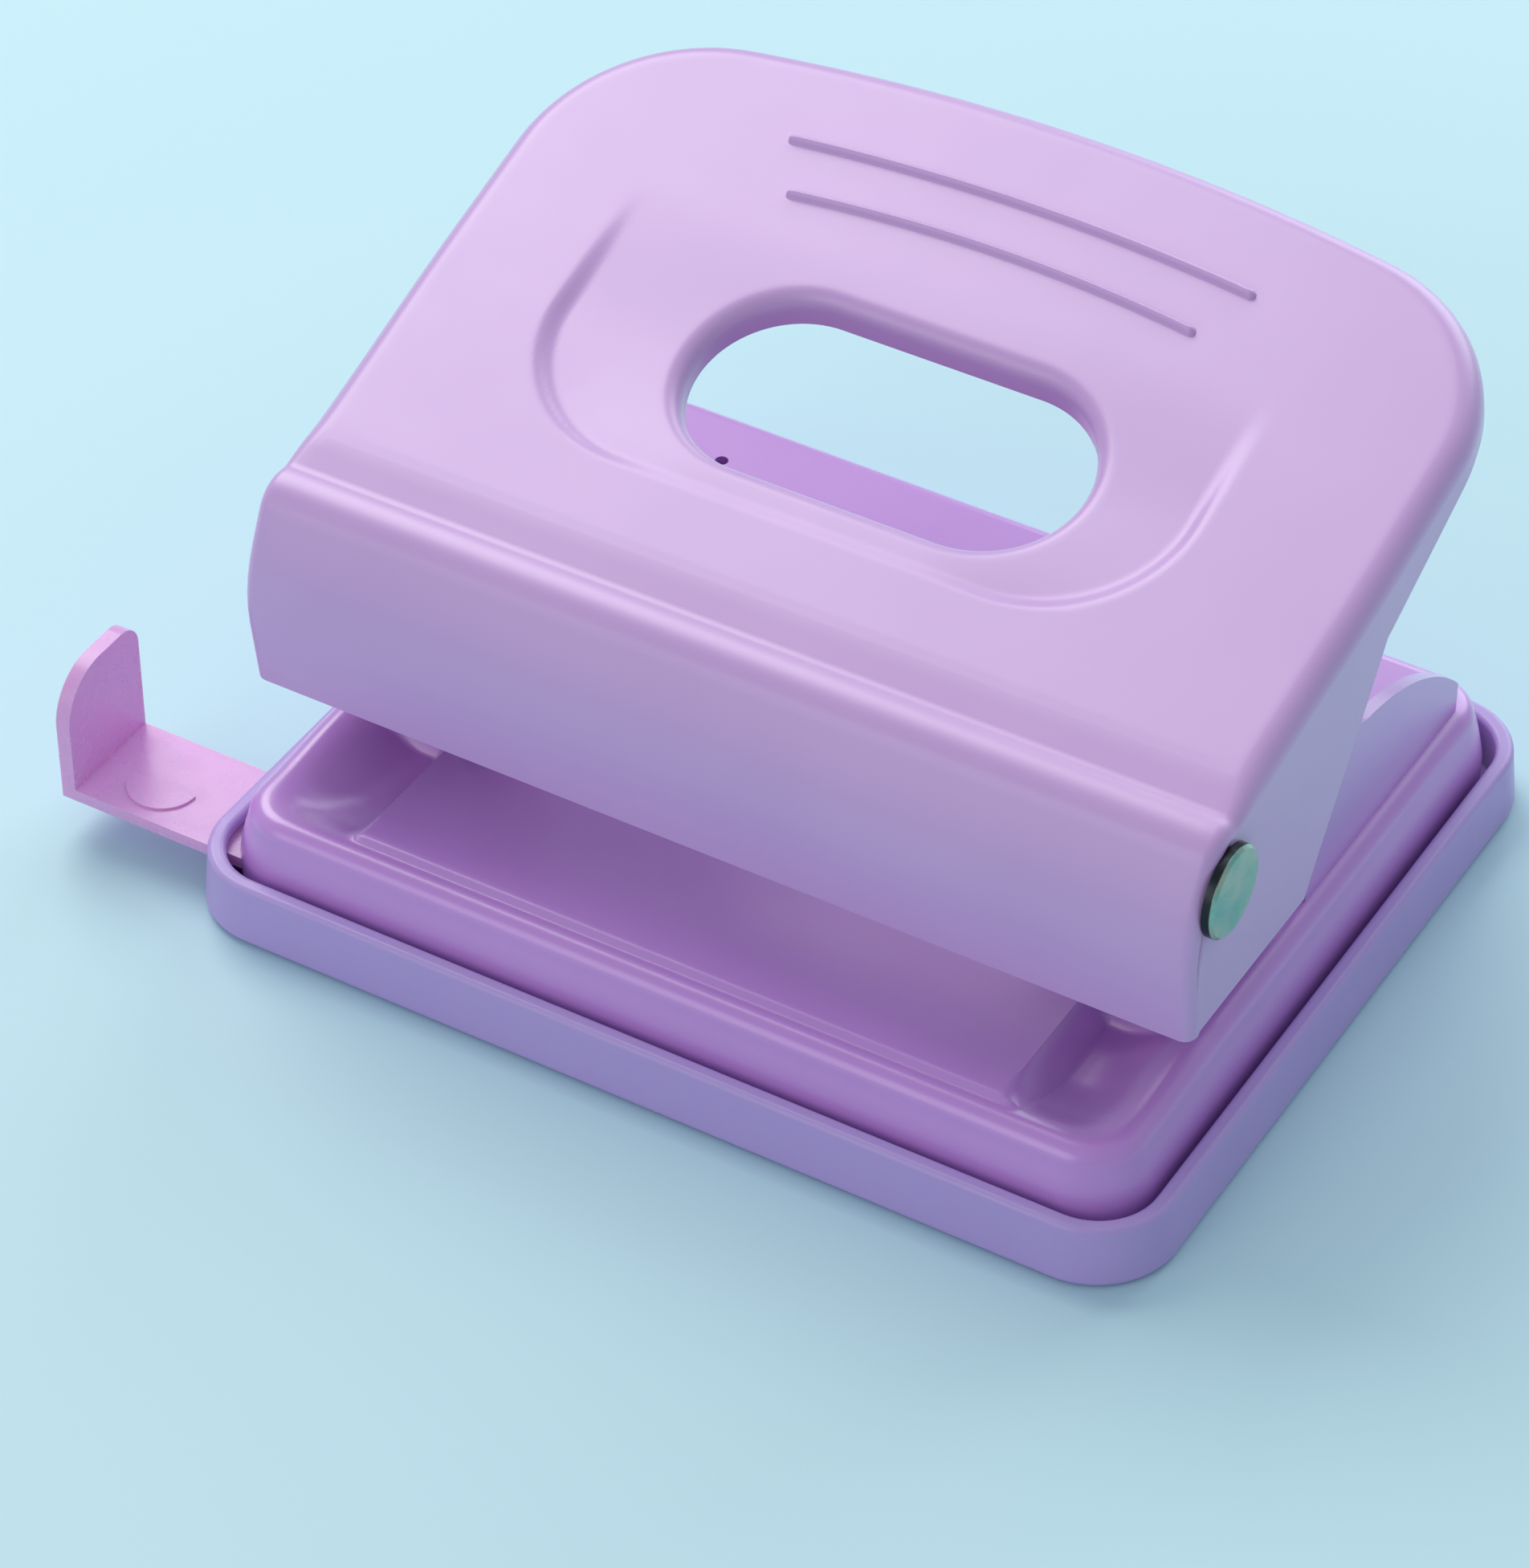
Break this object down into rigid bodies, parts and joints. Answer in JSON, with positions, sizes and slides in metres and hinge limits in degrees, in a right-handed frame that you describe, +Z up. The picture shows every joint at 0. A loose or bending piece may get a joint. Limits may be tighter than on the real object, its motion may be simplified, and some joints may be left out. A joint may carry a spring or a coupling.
{
  "type": "two-hole punch",
  "caption": "Desk paper punch with a pressed steel lever on a shaft, sprung punches in bushes, a steel base with paper table, a chip tray and a sliding paper guide.",
  "frame": {"origin": "centre of the chip tray's underside", "axes": "+X to the right along the front edge, +Y from the front to the back, +Z up"},
  "size_m": [0.1378, 0.0982, 0.0692],
  "materials": {
    "tray_plastic": "moulded lilac plastic",
    "guide_plastic": "translucent pink-lilac plastic",
    "frame_paint": "lilac gloss powder paint on pressed steel",
    "bracket_paint": "lilac gloss powder paint on steel plate",
    "rivet_steel": "plated",
    "die_steel": "ground",
    "guide_bush": "turned, plated",
    "pin_steel": "ground",
    "spring_wire": "plated wire",
    "spacer_plastic": "white plastic",
    "lever_paint": "lilac gloss powder paint on pressed steel",
    "bar_steel": "plated",
    "pivot_plating": "plated, slightly dull"
  },
  "bodies": {
    "tray": {"base_tray": "tray_plastic"},
    "frame": {"base_frame": "frame_paint", "side_bracket_left": "bracket_paint", "side_bracket_right": "bracket_paint", "bracket_rivets": "rivet_steel", "die_left": "die_steel", "die_right": "die_steel", "punch_guide_left": "guide_bush", "punch_guide_right": "guide_bush", "punch_spring_left": "spring_wire", "punch_spring_right": "spring_wire"},
    "lever_unit": {"lever": "lever_paint", "press_bar": "bar_steel", "pivot_shaft": "pivot_plating", "pivot_clip": "spring_wire", "pivot_spacer_left": "spacer_plastic", "pivot_spacer_right": "spacer_plastic"},
    "left_punch": {"punch_pin_left": "pin_steel"},
    "right_punch": {"punch_pin_right": "pin_steel"},
    "guide": {"paper_guide": "guide_plastic"}
  },
  "joints": [
    {"name": "tray_release", "type": "slide", "parent": "tray", "child": "frame", "axis": [0, 0, 1], "range_m": [0, 0.03]},
    {"name": "lever_pivot", "type": "hinge", "parent": "frame", "child": "lever_unit", "pos_m": [0, -0.0287, 0.0414], "axis": [-1, 0, 0], "range_deg": [0, 16], "stiffness_Nm_per_rad": 1.5, "springref_deg": -20.05},
    {"name": "left_punch_slide", "type": "slide", "parent": "frame", "child": "left_punch", "axis": [0, 0, -1], "range_m": [0, 0.0056], "deforming": ["punch_spring_left"]},
    {"name": "right_punch_slide", "type": "slide", "parent": "frame", "child": "right_punch", "axis": [0, 0, -1], "range_m": [0, 0.0056], "deforming": ["punch_spring_right"]},
    {"name": "guide_slide", "type": "slide", "parent": "tray", "child": "guide", "axis": [-1, 0, 0], "range_m": [-0.0165, 0.07]}
  ],
  "couplings": [
    {"joint": "left_punch_slide", "follows": "lever_pivot", "m_per_rad": 0.0194},
    {"joint": "right_punch_slide", "follows": "lever_pivot", "m_per_rad": 0.0194}
  ]
}
